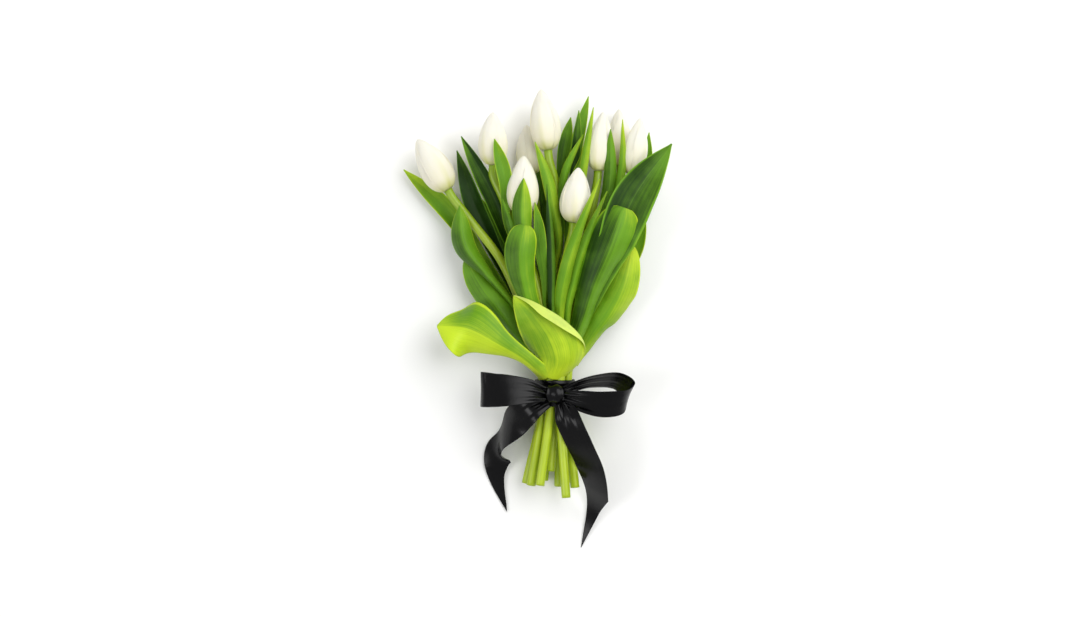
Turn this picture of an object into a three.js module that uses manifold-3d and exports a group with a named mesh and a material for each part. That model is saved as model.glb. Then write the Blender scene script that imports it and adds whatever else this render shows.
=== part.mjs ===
// A hand-tied bunch of nine white tulips, lying on its back, held by a black satin ribbon bow.
// Millimetres. +X is to the right, +Y runs from the cut ends to the flowers, +Z is up.
// The layout is drawn round the tie, at x = y = z = 0, and moved to its resting place at the end.
import * as THREE from "three";
import Module from "manifold-3d";
import { mergeVertices } from "three/addons/utils/BufferGeometryUtils.js";

const wasm = await Module();
wasm.setup();

// Overall sizes. The tables below give places for a head of LAYOUT_LENGTH by LAYOUT_WIDTH.
const HEAD_LENGTH = 303; // from the tie to the tip of the tallest flower
const HEAD_WIDTH = 268; // across the widest leaves
const LAYOUT_LENGTH = 303;
const LAYOUT_WIDTH = 268;
const LAYOUT_STALK = 104;
const STALK_LENGTH = 104; // from the tie to the longest cut end

// Stems
const STEM_DIAMETER = 9;
const STEM_CLEARANCE = 1.9; // between neighbouring stems inside the tie
const STEM_SIDES = 8;
const STEM_STEPS = 10;
const WAIST_LENGTH = 36; // the stems run side by side this far through the tie

// Flowers
const BLOOM_SIDES = 12;
const BLOOM_RINGS = 8;
const PETAL_LOBE = 0.035; // how far the three outer petals stand out of round

// Leaves
const LEAF_THICKNESS = 1.2;
const LEAF_STAND_OFF = 0.8; // from the foot of a leaf to its stem
const LEAF_RINGS = 8;
const LEAF_BASE_SHARE = 0.3; // width at the foot as a share of the full width
const LEAF_MARGIN_SHARE = 0.4; // thickness at the margins as a share of the middle
const NARROW_LEAF = 16; // leaves narrower than this need fewer points across

// Ribbon
const RIBBON_WIDTH = 36;
const RIBBON_THICKNESS = 1;
const BAND_WIDTH = 26; // gathered where it goes round the stems
const KNOT_SIZE = new THREE.Vector3(17, 17, 12);

const FIT_GAP = 0.3; // left between pieces that touch
const TRIM_TOLERANCE = 0.03; // slivers thinner than this are cleared from a trimmed edge

const STEM_RING = (STEM_DIAMETER + STEM_CLEARANCE) / (2 * Math.sin(Math.PI / 8));
const BAND_RADIUS = STEM_RING + STEM_DIAMETER / 2 + 2 * FIT_GAP;
const KNOT_HEIGHT = BAND_RADIUS + RIBBON_THICKNESS + FIT_GAP + KNOT_SIZE.z / 2;

// One entry per tulip. turn is the place of its stem in the ring inside the tie, in degrees
// from +X towards +Z, or null in the middle. cut is the lower end, via the points on the way
// up, base and tip the ends of the flower.
const TULIPS = [
  { turn: 202.5, cut: [-29, -92, -9], via: [[-51, 127, 3], [-85, 173, 4]],
    base: [-107, 203, 4], tip: [-138, 254, 4], width: 30 },
  { turn: 157.5, cut: [-24, -93, 4], via: [[-30, 110, 9], [-49, 187, 12]],
    base: [-62, 227, 13], tip: [-62, 280, 13], width: 27 },
  { turn: 247.5, cut: [-11, -90, -19.5], via: [[-11, 110, -9]],
    base: [-23, 220, -12.4], tip: [-29, 270, -12.4], width: 25 },
  { turn: null, cut: [-4.5, -79, 3], via: [[-1, 110, 3], [1, 205, 9]],
    base: [-7, 242, 14], tip: [-14, 303, 15], width: 28.5 },
  { turn: 112.5, cut: [-15, -92, 15], via: [[-14, 90, 18]],
    base: [-33, 177, 26], tip: [-31, 235, 29], width: 30 },
  { turn: 67.5, cut: [11, -104, 16], via: [[6, 90, 20], [12, 138, 27]],
    base: [18, 169, 31], tip: [23, 223, 35], width: 29 },
  { turn: 22.5, cut: [20, -95, 5], via: [[24, 110, 9]],
    base: [43, 221, 14], tip: [48, 280, 14], width: 23.5 },
  { turn: 292.5, cut: [4, -96, -19.5], via: [[22, 110, -10]],
    base: [65, 228, -12.4], tip: [65, 286, -12.4], width: 24 },
  { turn: 337.5, cut: [18, -91, -9], via: [[36, 110, -2], [66, 190, 9]],
    base: [76, 218, 13], tip: [85, 274, 15], width: 23 },
];

// One entry per leaf, from the front of the bunch to its back. It grows from the stem of one
// tulip, at a height above the tie and on one side of the stem (90 is up), then runs through
// the points of to. widest is where along its length it is widest, roll and cup are degrees
// at the foot and at the tip. A cup below 0 turns the margins down, above 0 up.
const LEAVES = [
  { name: "leaf_front_fold", tulip: 5, height: 14, side: 72, width: 58, widest: 0.42, blunt: 0.8,
    to: [[2, 34, 31], [-5, 56, 39], [-21, 78, 42], [-41, 97, 36]], roll: [0, -12], cup: [-70, -30] },
  { name: "leaf_left_flop", tulip: 5, height: 14, side: 135, width: 58, widest: 0.76, blunt: 0.9,
    to: [[-31, 34, 29], [-58, 50, 34], [-86, 64, 33], [-117, 67, 25]], roll: [-20, -12, -10, -30, -64],
    cup: [-60, -14] },
  { name: "leaf_front_left", tulip: 5, height: 42, side: 100, width: 37, widest: 0.76, blunt: 0.36,
    to: [[-19, 72, 22], [-30, 102, 38], [-35, 135, 48], [-30, 166, 49]], roll: [-4, 0], cup: [-60, -30] },
  { name: "leaf_front_right", tulip: 6, height: 30, side: 50, width: 54, widest: 0.78, blunt: 0.34,
    to: [[26, 68, 26], [39, 108, 40], [54, 144, 48], [68, 183, 47]], roll: [10, 4], cup: [-60, -30] },
  { name: "leaf_centre", tulip: 6, height: 36, side: 115, width: 13, widest: 0.5,
    to: [[-3, 80, 30], [-3, 120, 36], [-5, 165, 40], [-8, 207, 38]], roll: [0, 15], cup: [-70, -50] },
  { name: "leaf_centre_right_1", tulip: 6, height: 48, side: 90, width: 18, widest: 0.5,
    to: [[5, 84, 32], [10, 116, 42], [20, 152, 49], [43, 211, 50]], roll: [5, 10], cup: [-60, -35] },
  { name: "leaf_centre_right_2", tulip: 7, height: 34, side: 80, width: 15, widest: 0.55,
    to: [[12, 75, 24], [18, 108, 32], [30, 150, 38], [51, 200, 38]], roll: [5, 15], cup: [-60, -40] },
  { name: "leaf_mid_left", tulip: 5, height: 66, side: 120, width: 26, widest: 0.72,
    to: [[-22, 110, 33], [-30, 145, 43], [-33, 178, 47], [-31, 212, 46]], roll: [-5, 0], cup: [-60, -30] },
  { name: "leaf_mid_left_thin", tulip: 5, height: 74, side: 160, width: 12, widest: 0.6,
    to: [[-31, 110, 25], [-38, 135, 32], [-43, 162, 38], [-52, 192, 36]],
    roll: [-10, -5], cup: [-60, -45] },
  { name: "leaf_centre_thin", tulip: 5, height: 84, side: 60, width: 12, widest: 0.6,
    to: [[-11, 115, 28], [-14, 140, 34], [-16, 165, 38], [-20, 189, 37]], roll: [10, 0], cup: [-60, 40] },
  { name: "leaf_left_channel", tulip: 1, height: 52, side: 100, width: 33, widest: 0.74,
    to: [[-46, 92, 14], [-70, 120, 19], [-90, 147, 20], [-95, 187, 17]], roll: [-10, 4], cup: [-60, -30] },
  { name: "leaf_left_low", tulip: 2, height: 28, side: 130, width: 34, widest: 0.66, blunt: 0.6,
    to: [[-38, 58, 17], [-56, 83, 15], [-74, 107, 9], [-90, 134, 4]], roll: [-20, -10], cup: [-60, -20] },
  { name: "leaf_right_far", tulip: 9, height: 46, side: 75, width: 45, widest: 0.7,
    to: [[38, 95, 26], [56, 142, 34], [77, 194, 37], [115, 247, 33]], roll: [6, 8], cup: [-60, 34] },
  { name: "leaf_right_tall", tulip: 7, height: 66, side: 85, width: 18, widest: 0.75,
    to: [[29, 118, 19], [41, 160, 22], [54, 207, 26], [55, 262, 27]], roll: [0, 5], cup: [-60, -40] },
  { name: "leaf_right_thin", tulip: 9, height: 72, side: 110, width: 10, widest: 0.65,
    to: [[34, 112, 12], [50, 165, 19], [66, 220, 23], [67, 272, 24]], roll: [0, 0], cup: [-60, -30] },
  { name: "leaf_centre_tall", tulip: 4, height: 120, side: 90, width: 15, widest: 0.62,
    to: [[4, 150, 20], [0, 178, 27], [-7, 212, 32], [-20, 249, 32]], roll: [5, 10], cup: [-60, -30] },
  { name: "leaf_left_tall", tulip: 2, height: 96, side: 70, width: 15, widest: 0.8,
    to: [[-36, 135, 16], [-48, 170, 20], [-49, 212, 30], [-60, 252, 31]], roll: [0, -5], cup: [-60, 35] },
  { name: "leaf_left_bright", tulip: 2, height: 62, side: 260, width: 24, widest: 0.7,
    to: [[-30, 112, -4], [-45, 155, -3], [-65, 205, 2], [-94, 257, 7]], roll: [-14, -14], cup: [60, 36] },
  { name: "leaf_left_dark", tulip: 1, height: 54, side: 290, width: 25, widest: 0.66,
    to: [[-40, 100, -9], [-61, 147, -11], [-82, 193, -8], [-99, 244, -7]], roll: [-8, -8], cup: [60, 30] },
  { name: "leaf_right_low", tulip: 7, height: 28, side: 10, width: 40, widest: 0.62, blunt: 0.6,
    to: [[38, 56, 10], [56, 80, 15], [69, 107, 17], [78, 146, 14]], roll: [20, 8], cup: [-60, -16] },
  { name: "leaf_right_edge", tulip: 9, height: 34, side: 330, width: 24, widest: 0.66,
    to: [[40, 76, -2], [62, 112, 0], [79, 148, 3], [90, 188, 5]], roll: [14, 10], cup: [60, 30] },
  { name: "leaf_top_1", tulip: 4, height: 96, side: 300, width: 15, widest: 0.8,
    to: [[5, 140, -3], [5, 185, -2], [8, 236, -1], [16, 277, -3]], roll: [0, 0], cup: [60, 35] },
  { name: "leaf_top_2", tulip: 8, height: 100, side: 120, width: 13, widest: 0.78,
    to: [[20, 140, -5], [19, 190, -8], [22, 250, -8], [34, 299, -10]], roll: [0, 10], cup: [-50, 35] },
  { name: "leaf_top_3", tulip: 7, height: 84, side: 190, width: 12, widest: 0.75,
    to: [[14, 130, 7], [16, 180, 7], [20, 236, 7], [24, 283, 6]], roll: [-10, 10], cup: [60, 45] },
  { name: "leaf_top_4", tulip: 7, height: 104, side: 130, width: 10, widest: 0.65,
    to: [[21, 145, 15], [24, 188, 19], [30, 236, 24], [38, 284, 24]], roll: [-5, 0], cup: [-60, -35] },
  { name: "leaf_top_5", tulip: 4, height: 126, side: 20, width: 10, widest: 0.66,
    to: [[7, 160, 11], [6, 190, 16], [11, 222, 18], [28, 258, 17]], roll: [0, 12], cup: [-60, -35] },
  { name: "leaf_top_6", tulip: 6, height: 112, side: 280, width: 8, widest: 0.6,
    to: [[11, 140, 15], [12, 172, 8], [15, 206, 10], [27, 239, 14]], roll: [0, 12], cup: [60, 30] },
  { name: "leaf_right_back", tulip: 9, height: 94, side: 275, width: 13, widest: 0.75,
    to: [[46, 128, -12], [68, 175, -8], [90, 224, -5], [95, 262, -4]], roll: [5, 10], cup: [60, 40] },
  { name: "leaf_left_far", tulip: 1, height: 36, side: 230, width: 23, widest: 0.72,
    to: [[-43, 90, -13], [-74, 137, -15], [-108, 184, -15], [-153, 225, -10]],
    roll: [-8, 0], cup: [60, 28] },
  { name: "leaf_under_1", tulip: 3, height: 24, side: 235, width: 30, widest: 0.5,
    to: [[-24, 75, -21], [-40, 115, -23.2], [-58, 160, -23.2], [-82, 205, -20]],
    roll: [-5, 0], cup: [60, 16] },
  { name: "leaf_under_2", tulip: 3, height: 50, side: 275, width: 28, widest: 0.55,
    to: [[-7, 100, -21.5], [-9, 145, -23.2], [-12, 190, -23.2], [-20, 236, -21]],
    roll: [0, 0], cup: [60, 14] },
  { name: "leaf_under_3", tulip: 8, height: 26, side: 275, width: 30, widest: 0.5,
    to: [[20, 75, -21.5], [32, 115, -23.2], [46, 160, -23.2], [62, 206, -21]],
    roll: [5, 0], cup: [60, 16] },
  { name: "leaf_under_4", tulip: 9, height: 27, side: 288, width: 25, widest: 0.55,
    to: [[34, 65, -15], [52, 98, -18], [68, 132, -19], [80, 168, -17]], roll: [20, 8], cup: [60, 18] },
  { name: "leaf_under_5", tulip: 1, height: 24, side: 260, width: 24, widest: 0.55,
    to: [[-33, 58, -16], [-52, 84, -19], [-70, 112, -19], [-90, 146, -17]],
    roll: [-20, -8], cup: [60, 18] },
  { name: "leaf_under_6", tulip: 8, height: 84, side: 230, width: 19, widest: 0.6,
    to: [[17, 125, -18], [16, 165, -17], [20, 210, -17], [30, 250, -18]], roll: [0, 0], cup: [60, 20] },
];

// Each free length of ribbon: the path of its middle, the direction across it at each end and
// between, and its width there as a share of the ribbon's.
const RIBBONS = [
  { name: "ribbon_loop_left",
    path: [[-9, -1, 2], [-24, 3, 9], [-48, 4, 12], [-70, 4, 6], [-73, 5, -3], [-52, 4, -6], [-26, 2, -3],
      [-9, 0, -2]],
    across: [[0, 1, -0.25], [0, 1, -0.25], [0, 1, 0.1], [0, 1, 0.3]],
    share: [0.36, 0.67, 0.92, 0.94, 0.94, 0.83, 0.56, 0.33] },
  { name: "ribbon_loop_right",
    path: [[9, -3, 2], [26, -7, 8], [48, -10, 10], [68, -7, 7], [74, 2, 0], [62, 12, -5], [38, 12, -5],
      [22, 8, -3], [9, 3, -2]],
    across: [[0, 1, 0.35], [0, 1, 0.5], [0.35, 1, 0.9], [0, 0.75, 1], [0, 1, 0.6]],
    share: [0.36, 0.67, 0.83, 0.86, 0.86, 0.78, 0.61, 0.44, 0.33] },
  { name: "ribbon_tail_left",
    path: [[-8, -6, -1], [-26, -15, 1], [-42, -31, -14], [-56, -51, -30], [-59, -66, -41], [-56, -86, -47],
      [-48, -114, -48]],
    across: [[0.5, -0.8, 0], [0.62, -0.7, 0.2], [0.3, -0.1, 0.95], [0.95, 0.1, 0.2], [0.93, 0.3, 0.05]],
    share: [0.4, 0.8, 0.9, 0.88, 0.75, 0.6, 0.3] },
  { name: "ribbon_tail_right",
    path: [[7, -9, -2], [13, -26, 4], [23, -48, 3], [34, -72, -6], [41, -96, -20], [40, -122, -38],
      [29, -152, -48]],
    across: [[0.8, -0.3, 0.3], [0.85, -0.35, 0.4], [0.85, -0.35, 0.3], [0.8, -0.3, 0.6], [0.85, -0.3, 0.2]],
    share: [0.45, 0.8, 0.9, 0.88, 0.8, 0.6, 0.3] },
];

const PETAL_WHITE = new THREE.MeshStandardMaterial({ color: 0xf7f3e6, roughness: 0.55, metalness: 0 });
const STEM_GREEN = new THREE.MeshStandardMaterial({ color: 0x9cb63a, roughness: 0.5, metalness: 0 });
const LEAF_GREEN = new THREE.MeshStandardMaterial({ color: 0x4f7f2c, roughness: 0.5, metalness: 0 });
const RIBBON_BLACK = new THREE.MeshStandardMaterial({ color: 0x0b0b0d, roughness: 0.3, metalness: 0 });

const toVector = ([x, y, z]) => new THREE.Vector3(x, y, z);

// A point of the head, or of the cut ends, at the chosen overall size.
function place([x, y, z]) {
  const along = y > 0 ? HEAD_LENGTH / LAYOUT_LENGTH : STALK_LENGTH / LAYOUT_STALK;
  return new THREE.Vector3(x * HEAD_WIDTH / LAYOUT_WIDTH, y * along, z);
}

// Joins rings of points, each turning right-handed about the way they follow, into one solid
// closed at both ends.
function loft(rings) {
  const round = rings[0].length;
  const points = rings.flat();
  const faces = [];
  for (let ring = 0; ring < rings.length - 1; ring++) {
    for (let step = 0; step < round; step++) {
      const a = ring * round + step;
      const b = ring * round + (step + 1) % round;
      faces.push(a, b, a + round, b, b + round, a + round);
    }
  }
  const last = (rings.length - 1) * round;
  const middle = (ring) => ring.reduce((sum, p) => sum.add(p), new THREE.Vector3()).divideScalar(round);
  points.push(middle(rings[0]), middle(rings[rings.length - 1]));
  for (let step = 0; step < round; step++) {
    const next = (step + 1) % round;
    faces.push(points.length - 2, next, step, points.length - 1, last + step, last + next);
  }
  const geometry = new THREE.BufferGeometry().setFromPoints(points);
  geometry.setIndex(faces);
  return geometry;
}

// The frame of a flat thing that follows a path: along, across and facing at right angles.
function frameAt(curve, t, acrossWish) {
  const along = curve.getTangent(t);
  const facing = new THREE.Vector3().crossVectors(acrossWish, along).normalize();
  const across = new THREE.Vector3().crossVectors(along, facing).normalize();
  return { along, across, facing };
}

// A value read along a short list, straight from one entry to the next.
function readAlong(values, t) {
  const spot = t * (values.length - 1);
  const entry = Math.min(Math.floor(spot), values.length - 2);
  return THREE.MathUtils.lerp(values[entry], values[entry + 1], spot - entry);
}

function stemCurve(tulip) {
  const turn = THREE.MathUtils.degToRad(tulip.turn ?? 0);
  const ring = tulip.turn === null ? 0 : STEM_RING;
  const waist = (y) => new THREE.Vector3(ring * Math.cos(turn), y, ring * Math.sin(turn));
  const cut = place(tulip.cut);
  const base = place(tulip.base);
  const rise = place(tulip.tip).sub(base).setLength(STEM_DIAMETER);
  return new THREE.CatmullRomCurve3([cut, waist(-WAIST_LENGTH / 2), waist(WAIST_LENGTH / 2),
    ...tulip.via.map(place), base.clone().sub(rise), base]);
}

function pointAtHeight(curve, height) {
  let low = 0;
  let high = 1;
  for (let halving = 0; halving < 24; halving++) {
    const middle = (low + high) / 2;
    if (curve.getPoint(middle).y < height) low = middle;
    else high = middle;
  }
  return curve.getPoint(low);
}

// A stem is a round tube along its curve. It stops just short of its flower.
function stemGeometry(tulip, grow) {
  const curve = stemCurve(tulip);
  const radius = STEM_DIAMETER / 2 + grow;
  const section = new THREE.Shape();
  section.absarc(0, 0, radius, 0, 2 * Math.PI, false);
  return new THREE.ExtrudeGeometry(section, {
    steps: STEM_STEPS, extrudePath: curve, curveSegments: STEM_SIDES, bevelEnabled: false,
  });
}

// A closed flower: radius R sin(pi s^0.7)^0.62 at share s of its length, with three soft lobes.
function bloomGeometry(tulip, grow) {
  const base = place(tulip.base);
  const axis = place(tulip.tip).sub(base);
  const length = axis.length();
  const { across, facing } = frameAt(new THREE.LineCurve3(base, place(tulip.tip)), 0,
    new THREE.Vector3(1, 0, 0));
  const foot = base.clone().addScaledVector(axis.normalize(), FIT_GAP - grow);
  const rings = [];
  for (let ring = 0; ring < BLOOM_RINGS; ring++) {
    const share = THREE.MathUtils.lerp(0.015, 0.992, ring / (BLOOM_RINGS - 1));
    const radius = tulip.width / 2 * Math.sin(Math.PI * share ** 0.7) ** 0.62 + grow;
    const middle = foot.clone().addScaledVector(axis, share * (length - FIT_GAP + 2 * grow));
    rings.push(Array.from({ length: BLOOM_SIDES }, (_, side) => {
      const turn = 2 * Math.PI * side / BLOOM_SIDES;
      const reach = radius * (1 - PETAL_LOBE + PETAL_LOBE * Math.cos(3 * turn));
      return middle.clone().addScaledVector(facing, reach * Math.cos(turn))
        .addScaledVector(across, reach * Math.sin(turn));
    }));
  }
  return loft(rings);
}

// A leaf: at share t of its length the section is an arc of half width h(t) and half angle
// cup(t), so a point at u from -1 to 1 across it lies at
// middle + across rho sin(cup u) + facing rho (1 - cos(cup u)), with rho = h / cup.
function leafGeometry(leaf, grow) {
  const stem = stemCurve(TULIPS[leaf.tulip - 1]);
  const side = THREE.MathUtils.degToRad(leaf.side);
  const stand = STEM_DIAMETER / 2 + LEAF_THICKNESS / 2 + LEAF_STAND_OFF;
  const foot = pointAtHeight(stem, leaf.height * HEAD_LENGTH / LAYOUT_LENGTH)
    .add(new THREE.Vector3(stand * Math.cos(side), 0, stand * Math.sin(side)));
  const curve = new THREE.CatmullRomCurve3([foot, ...leaf.to.map(place)]);
  const pieces = leaf.width < NARROW_LEAF ? 3 : 4;
  const power = Math.log(0.5) / Math.log(leaf.widest);
  const rings = [];
  for (let ring = 0; ring < LEAF_RINGS; ring++) {
    const t = ring / (LEAF_RINGS - 1);
    const swell = Math.sin(Math.PI * Math.min(t, 0.997) ** power) ** (leaf.blunt ?? 1);
    const share = swell + LEAF_BASE_SHARE * (1 - t) ** 2 * (1 - swell);
    const half = leaf.width / 2 * share + LEAF_THICKNESS / 2 + grow;
    const roll = THREE.MathUtils.degToRad(readAlong(leaf.roll, t));
    const cup = THREE.MathUtils.degToRad(readAlong(leaf.cup, t));
    const bend = Math.abs(cup) < 0.05 ? 0.05 : cup;
    const level = frameAt(curve, t, new THREE.Vector3(1, 0, 0));
    const across = level.across.applyAxisAngle(level.along, roll);
    const facing = level.facing.applyAxisAngle(level.along, roll);
    const spine = curve.getPoint(t);
    const at = (u, face) => {
      const angle = bend * u;
      const edge = 1 - (1 - LEAF_MARGIN_SHARE) * u ** 4;
      const lift = face * (LEAF_THICKNESS / 2 * edge + grow);
      return spine.clone()
        .addScaledVector(across, half / bend * Math.sin(angle) - lift * Math.sin(angle))
        .addScaledVector(facing, half / bend * (1 - Math.cos(angle)) + lift * Math.cos(angle));
    };
    const marks = Array.from({ length: pieces + 1 }, (_, mark) => 2 * mark / pieces - 1);
    rings.push([...marks.map((u) => at(u, 1)), ...marks.toReversed().map((u) => at(u, -1))]);
  }
  return loft(rings);
}

// A length of ribbon: a flat strip, its middle on a path, wide across and thin the other way.
function ribbonGeometry(ribbon, grow) {
  const knot = new THREE.Vector3(0, 0, KNOT_HEIGHT);
  const curve = new THREE.CatmullRomCurve3(ribbon.path.map((p) => toVector(p).add(knot)));
  const turns = new THREE.CatmullRomCurve3(ribbon.across.map(toVector));
  const steps = 2 * (ribbon.path.length - 1);
  const rings = [];
  for (let step = 0; step <= steps; step++) {
    const t = step / steps;
    const { across, facing } = frameAt(curve, t, turns.getPoint(t).normalize());
    const half = readAlong(ribbon.share, t) * RIBBON_WIDTH / 2 + grow;
    const lift = RIBBON_THICKNESS / 2 + grow;
    const at = (u, face) => curve.getPoint(t).addScaledVector(across, half * u)
      .addScaledVector(facing, lift * face);
    rings.push([at(-1, 1), at(0, 1), at(1, 1), at(1, -1), at(0, -1), at(-1, -1)]);
  }
  return loft(rings);
}

function bandGeometry(grow) {
  const inner = BAND_RADIUS - grow;
  const outer = BAND_RADIUS + RIBBON_THICKNESS + grow;
  const half = BAND_WIDTH / 2 + grow;
  const profile = [[inner, -half], [outer, -half], [outer, half], [inner, half], [inner, -half]];
  return new THREE.LatheGeometry(profile.map(([r, y]) => new THREE.Vector2(r, y)), 24);
}

function knotGeometry(grow) {
  const geometry = new THREE.SphereGeometry(1, 14, 10);
  const half = KNOT_SIZE.clone().multiplyScalar(0.5).addScalar(grow);
  return geometry.scale(half.x, half.y, half.z).translate(0, 0, KNOT_HEIGHT);
}

function toSolid(geometry) {
  const bare = geometry.clone();
  bare.deleteAttribute("normal");
  bare.deleteAttribute("uv");
  const merged = mergeVertices(bare, 1e-3);
  const triVerts = [];
  for (let i = 0; i < merged.index.count; i += 3) {
    const corners = [0, 1, 2].map((k) => merged.index.getX(i + k));
    if (new Set(corners).size === 3) triVerts.push(...corners);
  }
  return new wasm.Manifold(new wasm.Mesh({
    numProp: 3,
    vertProperties: new Float32Array(merged.attributes.position.array),
    triVerts: new Uint32Array(triVerts),
  }));
}

function toGeometry(solid) {
  const mesh = solid.getMesh();
  const geometry = new THREE.BufferGeometry();
  geometry.setAttribute("position", new THREE.BufferAttribute(mesh.vertProperties, 3));
  geometry.setIndex(new THREE.BufferAttribute(mesh.triVerts, 1));
  return geometry;
}

function largestPart(solid) {
  return solid.decompose().reduce((best, part) => (part.volume() > best.volume() ? part : best));
}

// The stems and the ribbon come first. What is listed later gives way to what it meets, and
// keeps its largest part.
const makers = [
  ...TULIPS.map((tulip, i) => [`tulip_${i + 1}_stem`, STEM_GREEN, (grow) => stemGeometry(tulip, grow)]),
  ["ribbon_band", RIBBON_BLACK, bandGeometry],
  ["ribbon_knot", RIBBON_BLACK, knotGeometry],
  ...RIBBONS.map((ribbon) => [ribbon.name, RIBBON_BLACK, (grow) => ribbonGeometry(ribbon, grow)]),
  ...TULIPS.map((tulip, i) => [`tulip_${i + 1}_bloom`, PETAL_WHITE, (grow) => bloomGeometry(tulip, grow)]),
  ...LEAVES.map((leaf) => [leaf.name, LEAF_GREEN, (grow) => leafGeometry(leaf, grow)]),
];

const bunch = new THREE.Group();
const taken = [];
for (const [name, material, make] of makers) {
  let solid = toSolid(make(0));
  for (const other of taken) solid = solid.subtract(other);
  const cleared = toGeometry(largestPart(solid).simplify(TRIM_TOLERANCE));
  const trimmed = toGeometry(largestPart(toSolid(cleared)));
  const piece = new THREE.Mesh(trimmed, material.clone());
  piece.name = name;
  bunch.add(piece);
  taken.push(toSolid(make(FIT_GAP)));
}

// The footprint's middle goes to the origin and the lowest point onto the surface.
const box = new THREE.Box3().setFromObject(bunch);
bunch.position.set(-(box.min.x + box.max.x) / 2, -(box.min.y + box.max.y) / 2, -box.min.z);

export default bunch;
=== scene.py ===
# Bunch of white tulips with a black satin bow, lying on a pale surface.
import math
import bpy
import numpy as np
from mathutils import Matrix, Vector


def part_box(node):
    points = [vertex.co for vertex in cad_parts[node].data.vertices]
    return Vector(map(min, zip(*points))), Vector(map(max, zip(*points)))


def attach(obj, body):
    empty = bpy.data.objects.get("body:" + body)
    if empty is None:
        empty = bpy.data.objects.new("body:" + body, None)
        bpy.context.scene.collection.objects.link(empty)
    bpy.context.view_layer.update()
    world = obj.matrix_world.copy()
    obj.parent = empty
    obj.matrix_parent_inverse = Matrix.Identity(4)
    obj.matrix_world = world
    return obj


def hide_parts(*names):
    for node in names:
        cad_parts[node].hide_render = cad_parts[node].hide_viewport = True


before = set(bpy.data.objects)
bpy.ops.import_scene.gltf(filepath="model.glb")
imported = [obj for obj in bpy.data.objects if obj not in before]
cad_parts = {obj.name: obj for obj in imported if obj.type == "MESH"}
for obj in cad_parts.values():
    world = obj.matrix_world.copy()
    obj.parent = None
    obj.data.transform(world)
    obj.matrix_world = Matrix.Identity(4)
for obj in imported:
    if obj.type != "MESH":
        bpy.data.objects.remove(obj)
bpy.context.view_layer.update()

# The layout is in millimetres round the middle of the tie, which the ribbon band is centred on.
millimetre = 0.001
bandLow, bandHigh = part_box("ribbon_band")
tie = np.array((bandLow + bandHigh) / 2)


def place(points):
    return tie + millimetre * np.asarray(points, float)


def followPoints(points, t):
    # centripetal Catmull-Rom spline: a cubic over each span whose slopes come from the
    # neighbouring points, spaced by the square root of their distance; ends run straight on
    p = np.asarray(points, float)
    p = np.vstack([2 * p[0] - p[1], p, 2 * p[-1] - p[-2]])
    spot = np.clip(t, 0, 1) * (len(p) - 3)
    span = np.minimum(spot.astype(int), len(p) - 4)
    w = (spot - span)[..., None]
    a, b, c, d = p[span], p[span + 1], p[span + 2], p[span + 3]

    def gap(first, second):
        return np.linalg.norm(second - first, axis=-1, keepdims=True) ** 0.5

    before, inside, after = gap(a, b), gap(b, c), gap(c, d)
    inside = np.where(inside < 1e-4, 1, inside)
    before = np.where(before < 1e-4, inside, before)
    after = np.where(after < 1e-4, inside, after)
    slopeB = ((b - a) / before - (c - a) / (before + inside) + (c - b) / inside) * inside
    slopeC = ((c - b) / inside - (d - b) / (inside + after) + (d - c) / after) * inside
    return ((2 * w**3 - 3 * w**2 + 1) * b + (w**3 - 2 * w**2 + w) * slopeB
            + (3 * w**2 - 2 * w**3) * c + (w**3 - w**2) * slopeC)


def readAlong(values, t):
    # a list read from start to end, straight between its entries and rounded at them
    spots = np.linspace(0, 1, len(values))
    return sum(np.interp(t + nudge, spots, values) for nudge in (-0.06, -0.03, 0, 0.03, 0.06)) / 5


def unit(vectors):
    return vectors / np.linalg.norm(vectors, axis=-1, keepdims=True)


def framesOn(path, t, wish):
    # spine point, direction along, direction across and facing direction at each t
    step = 1e-4
    spine = followPoints(path, t)
    along = unit(followPoints(path, t + step) - followPoints(path, t - step))
    facing = unit(np.cross(wish, along))
    return spine, along, np.cross(along, facing), facing


def rolled(across, facing, degrees):
    # turns across and facing about the way they follow
    turn = np.radians(degrees)[:, None]
    return (across * np.cos(turn) - facing * np.sin(turn),
            facing * np.cos(turn) + across * np.sin(turn))


def surfaceNormals(grid, wrap=False):
    # across step times along step, from the neighbours on either side
    if wrap:
        down = np.roll(grid, -1, 0) - np.roll(grid, 1, 0)
    else:
        down = np.gradient(grid, axis=0)
    return unit(np.cross(np.gradient(grid, axis=1), down) + 1e-12)


def quads(a, b, c, d):
    return np.stack([a, b, c, d], -1).reshape(-1, 4)


def makePiece(name, points, faces, uv, values, material, body="root"):
    # a mesh object at the origin, with a UV map and one float attribute per entry of values
    mesh = bpy.data.meshes.new(name)
    mesh.from_pydata(points.tolist(), [], faces)
    corners = np.empty(len(mesh.loops), np.int32)
    mesh.loops.foreach_get("vertex_index", corners)
    layer = mesh.uv_layers.new(name="grain")
    layer.data.foreach_set("uv", uv[corners].astype(np.float32).ravel())
    for key, value in values.items():
        store = mesh.attributes.new(key, "FLOAT", "POINT")
        store.data.foreach_set("value", np.broadcast_to(value, len(points)).astype(np.float32))
    mesh.shade_smooth()
    mesh.materials.append(material)
    piece = bpy.data.objects.new(name, mesh)
    bpy.context.scene.collection.objects.link(piece)
    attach(piece, body)
    return piece


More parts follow.
